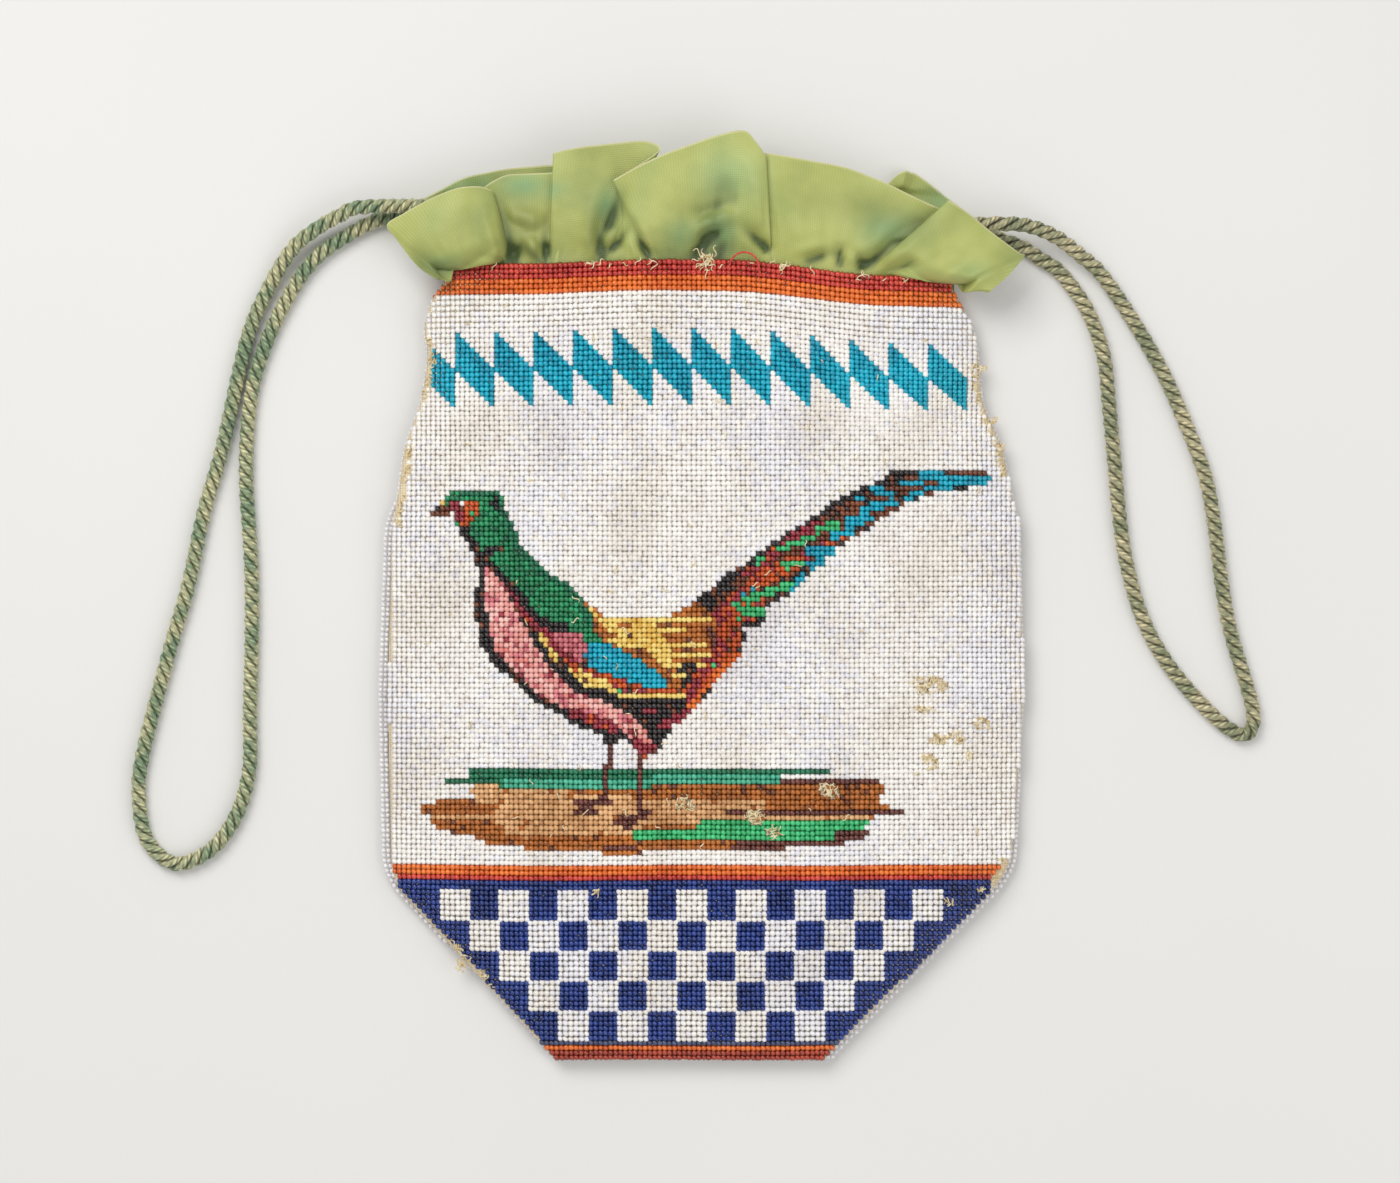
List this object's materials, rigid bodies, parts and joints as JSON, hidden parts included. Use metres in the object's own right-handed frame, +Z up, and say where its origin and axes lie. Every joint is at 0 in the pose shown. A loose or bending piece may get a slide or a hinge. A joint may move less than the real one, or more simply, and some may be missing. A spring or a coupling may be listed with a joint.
{
  "type": "beaded drawstring bag",
  "caption": "Flat-lying drawstring bag of glass beadwork on canvas, with a pheasant figure, a checkered foot, a gathered silk ruffle and looped twisted cords.",
  "frame": {"origin": "on the surface the bag lies on, under the middle of its width and height", "axes": "+X to the bag's right as seen from its front, +Y from the foot to the mouth, +Z up out of the front"},
  "size_m": [0.3532, 0.2896, 0.0229],
  "materials": {
    "front_beads": "close rows of small glossy glass beads, opaque white with coloured figures",
    "back_beads": "close rows of small glossy glass beads, opaque white",
    "canvas": "plain tan woven cloth",
    "silk": "thin crisp green silk, soft sheen, stained",
    "cord": "twisted silk-covered cord"
  },
  "bodies": {
    "root": {"front_beadwork": "front_beads", "back_beadwork": "back_beads", "front_canvas": "canvas", "back_canvas": "canvas", "front_ruffle": "silk", "back_ruffle": "silk", "left_cord": "cord", "right_cord": "cord"}
  },
  "joints": []
}
